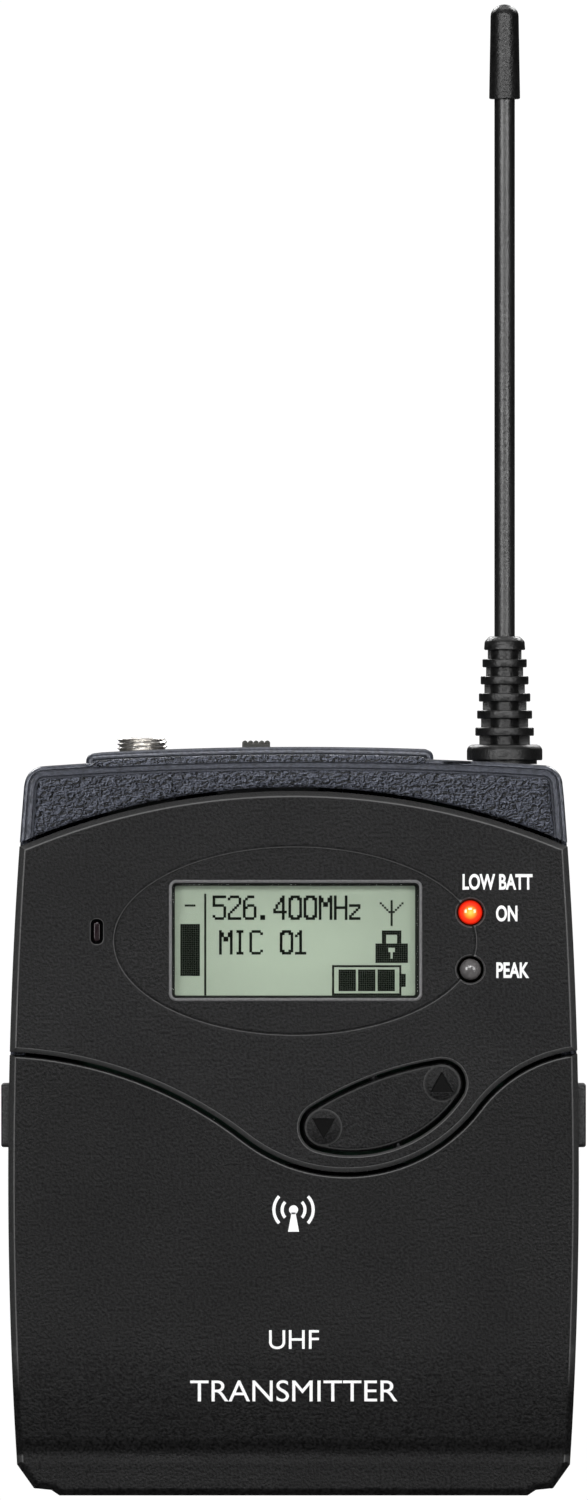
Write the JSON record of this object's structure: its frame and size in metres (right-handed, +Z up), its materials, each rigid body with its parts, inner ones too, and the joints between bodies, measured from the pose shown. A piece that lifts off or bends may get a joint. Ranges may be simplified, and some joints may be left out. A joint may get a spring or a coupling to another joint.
{
  "type": "wireless bodypack transmitter",
  "caption": "Body-worn audio transmitter with display, rocker, whip antenna, locking jack, sliding mute switch, hinged battery cover and sprung belt clip.",
  "frame": {"origin": "middle of the flat foot, half way through the depth of the case", "axes": "+X to the right of the front face, -Y out of the front face, +Z up along the antenna"},
  "size_m": [0.064, 0.0303, 0.1634],
  "materials": {
    "grey_casting": "blue-grey textured coating with a leathery grain, smooth on the rims",
    "black_plastic": "black moulded plastic with a fine spark-eroded grain",
    "slider_plastic": "dark olive black moulded plastic",
    "inner_plastic": "plain dark moulded plastic",
    "antenna_rubber": "black satin rubber",
    "nickel": "nickel plated",
    "spring_steel": "bright spring steel",
    "black_steel": "black coated steel",
    "gold_contact": "gold plated",
    "clear_window": "clear, polished",
    "display_glass": "grey-green liquid crystal display",
    "diffuser": "white diffuser",
    "red_lamp": "red lamp lens, lit",
    "dark_lamp": "smoky lamp lens, unlit",
    "smoked_lens": "near-black infrared window",
    "red_button": "red moulded button",
    "grey_button": "grey moulded button",
    "circuit_board": "green solder mask",
    "cell_wrap": "printed plastic sleeve, plain bands",
    "foam": "closed-cell foam"
  },
  "bodies": {
    "root": {"rear_shell": "grey_casting", "top_cap": "grey_casting", "front_panel": "black_plastic", "housing_screw_1": "black_steel", "housing_screw_2": "black_steel", "housing_screw_3": "black_steel", "housing_screw_4": "black_steel", "charging_contact_left": "gold_contact", "charging_contact_right": "gold_contact", "hinge_pin_left": "spring_steel", "hinge_pin_right": "spring_steel", "rocker_axle": "spring_steel", "switch_down": "inner_plastic", "switch_up": "inner_plastic", "switch_on_off": "inner_plastic", "switch_set": "inner_plastic", "display_window": "clear_window", "lcd_glass": "display_glass", "lcd_frame": "inner_plastic", "backlight_panel": "diffuser", "led_on": "red_lamp", "led_peak": "dark_lamp", "infrared_window": "smoked_lens", "infrared_receiver": "smoked_lens", "battery_tray": "inner_plastic", "battery_upper": "cell_wrap", "battery_lower": "cell_wrap", "contact_spring_upper": "spring_steel", "contact_spring_lower": "spring_steel", "bridge_contact": "nickel", "positive_contact": "nickel", "negative_contact": "nickel", "control_board": "circuit_board", "main_board": "circuit_board", "shield_can": "nickel", "board_connector": "inner_plastic", "jack_bushing": "nickel", "jack_body": "inner_plastic", "mute_switch": "inner_plastic", "antenna_base": "antenna_rubber", "antenna_boot": "antenna_rubber", "antenna_whip": "antenna_rubber", "antenna_tip": "antenna_rubber", "clip_bracket": "black_steel", "clip_pin": "spring_steel", "clip_spring": "spring_steel", "clip_screw_left": "black_steel", "clip_screw_right": "black_steel"},
    "battery_cover": {"battery_cover": "black_plastic", "cover_pad": "foam"},
    "release_catch_left": {"release_catch_left": "black_plastic", "catch_spring_left": "spring_steel"},
    "release_catch_right": {"release_catch_right": "black_plastic", "catch_spring_right": "spring_steel"},
    "rocker_button": {"rocker_button": "black_plastic"},
    "on_off_button": {"on_off_button": "red_button"},
    "set_button": {"set_button": "grey_button"},
    "mute_slider": {"mute_slider": "slider_plastic"},
    "belt_clip": {"belt_clip": "black_steel"}
  },
  "joints": [
    {"name": "cover_hinge", "type": "hinge", "parent": "root", "child": "battery_cover", "pos_m": [0, -0.0056, 0.002], "axis": [1, 0, 0], "range_deg": [0, 95]},
    {"name": "catch_left_press", "type": "slide", "parent": "battery_cover", "child": "release_catch_left", "axis": [1, 0, 0], "range_m": [0, 0.001], "stiffness_N_per_m": 600},
    {"name": "catch_right_press", "type": "slide", "parent": "battery_cover", "child": "release_catch_right", "axis": [-1, 0, 0], "range_m": [0, 0.001], "stiffness_N_per_m": 600},
    {"name": "rocker_tilt", "type": "hinge", "parent": "root", "child": "rocker_button", "pos_m": [0.00975, -0.008, 0.0427], "axis": [-0.3486, 0, 0.9373], "range_deg": [-3.5, 3.5], "stiffness_Nm_per_rad": 0.05},
    {"name": "on_off_press", "type": "slide", "parent": "root", "child": "on_off_button", "axis": [0, 1, 0], "range_m": [0, 0.0005], "stiffness_N_per_m": 500},
    {"name": "set_press", "type": "slide", "parent": "root", "child": "set_button", "axis": [0, 1, 0], "range_m": [0, 0.0005], "stiffness_N_per_m": 500},
    {"name": "mute_slide", "type": "slide", "parent": "root", "child": "mute_slider", "axis": [1, 0, 0], "range_m": [0, 0.002]},
    {"name": "clip_open", "type": "hinge", "parent": "root", "child": "belt_clip", "pos_m": [0, 0.0159, 0.063], "axis": [1, 0, 0], "range_deg": [0, 15], "stiffness_Nm_per_rad": 0.8}
  ]
}
